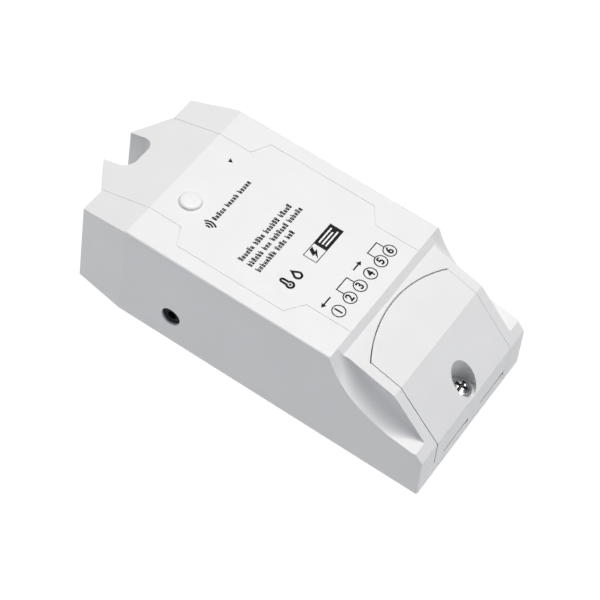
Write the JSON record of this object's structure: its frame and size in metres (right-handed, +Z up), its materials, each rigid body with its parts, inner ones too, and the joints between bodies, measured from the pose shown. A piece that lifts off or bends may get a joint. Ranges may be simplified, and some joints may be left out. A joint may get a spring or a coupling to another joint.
{
  "type": "temperature and humidity controller",
  "caption": "In-line mains relay box that switches by a plugged-in temperature and humidity sensor: white case, push button, sensor socket, screwed terminal cover, notched end.",
  "frame": {"origin": "centre of the underside of the case", "axes": "+X to the cable end with the terminal cover, -X to the notched end, +Z up out of the printed top face, -Y to the side with the sensor socket"},
  "size_m": [0.114, 0.052, 0.0328],
  "materials": {
    "case_white": "fine moulded texture",
    "cover_white": "fine moulded texture with printed marks",
    "lid_white": "fine moulded texture",
    "button_white": "smooth satin",
    "screw_steel": "bright plated",
    "black_plastic": "satin",
    "lens_clear": "clear moulded",
    "tinned_metal": "tinned",
    "spring_steel": "zinc plated",
    "terminal_grey": "moulded",
    "push_white": "moulded",
    "board_green": "solder mask",
    "relay_black": "moulded",
    "ferrite": "sintered",
    "tape_yellow": "wrapped tape",
    "can_sleeve": "shrunk sleeve",
    "disc_blue": "dipped coating",
    "box_yellow": "moulded",
    "fuse_brown": "moulded"
  },
  "bodies": {
    "case": {"base_case": "case_white", "top_cover": "cover_white", "tact_switch_body": "black_plastic", "status_led": "lens_clear", "light_pipe": "lens_clear", "sensor_jack_housing": "black_plastic", "sensor_jack_contacts": "tinned_metal", "terminal_block_housing": "terminal_grey", "clamp_contacts": "tinned_metal", "clamp_springs": "spring_steel", "circuit_board": "board_green", "board_screws": "spring_steel", "relay": "relay_black", "transformer_core": "ferrite", "transformer_bobbin": "black_plastic", "transformer_winding": "tape_yellow", "bulk_capacitors": "can_sleeve", "output_capacitor": "can_sleeve", "varistor": "disc_blue", "filter_capacitor": "box_yellow", "fuse": "fuse_brown", "inductor": "ferrite", "bridge_rectifier": "black_plastic", "power_driver_chip": "black_plastic", "memory_chip": "black_plastic", "radio_chip": "black_plastic", "voltage_regulator": "black_plastic", "crystal": "tinned_metal"},
    "lid": {"terminal_cover": "lid_white"},
    "lid_screw": {"terminal_cover_screw": "screw_steel"},
    "button": {"power_button": "button_white"},
    "switch_plunger": {"tact_switch_plunger": "black_plastic"},
    "push_1": {"terminal_push_1": "push_white"},
    "push_2": {"terminal_push_2": "push_white"},
    "push_3": {"terminal_push_3": "push_white"},
    "push_4": {"terminal_push_4": "push_white"},
    "push_5": {"terminal_push_5": "push_white"},
    "push_6": {"terminal_push_6": "push_white"}
  },
  "joints": [
    {"name": "lid_lift", "type": "slide", "parent": "case", "child": "lid", "axis": [0, 0, 1], "range_m": [0, 0.025]},
    {"name": "screw_turn", "type": "hinge", "parent": "lid", "child": "lid_screw", "pos_m": [0.0518, 0, 0.0116], "axis": [0, 0, 1], "continuous": true},
    {"name": "button_press", "type": "slide", "parent": "case", "child": "button", "axis": [0, 0, -1], "range_m": [0, 0.0004], "stiffness_N_per_m": 1500, "springref_m": -0.0004},
    {"name": "plunger_press", "type": "slide", "parent": "case", "child": "switch_plunger", "axis": [0, 0, -1], "range_m": [0, 0.0004]},
    {"name": "push_1_press", "type": "slide", "parent": "case", "child": "push_1", "axis": [0, 0, -1], "range_m": [0, 0.0013], "stiffness_N_per_m": 3000, "springref_m": -0.0005},
    {"name": "push_2_press", "type": "slide", "parent": "case", "child": "push_2", "axis": [0, 0, -1], "range_m": [0, 0.0013], "stiffness_N_per_m": 3000, "springref_m": -0.0005},
    {"name": "push_3_press", "type": "slide", "parent": "case", "child": "push_3", "axis": [0, 0, -1], "range_m": [0, 0.0013], "stiffness_N_per_m": 3000, "springref_m": -0.0005},
    {"name": "push_4_press", "type": "slide", "parent": "case", "child": "push_4", "axis": [0, 0, -1], "range_m": [0, 0.0013], "stiffness_N_per_m": 3000, "springref_m": -0.0005},
    {"name": "push_5_press", "type": "slide", "parent": "case", "child": "push_5", "axis": [0, 0, -1], "range_m": [0, 0.0013], "stiffness_N_per_m": 3000, "springref_m": -0.0005},
    {"name": "push_6_press", "type": "slide", "parent": "case", "child": "push_6", "axis": [0, 0, -1], "range_m": [0, 0.0013], "stiffness_N_per_m": 3000, "springref_m": -0.0005}
  ],
  "couplings": [
    {"joint": "plunger_press", "follows": "button_press", "ratio": 1}
  ]
}
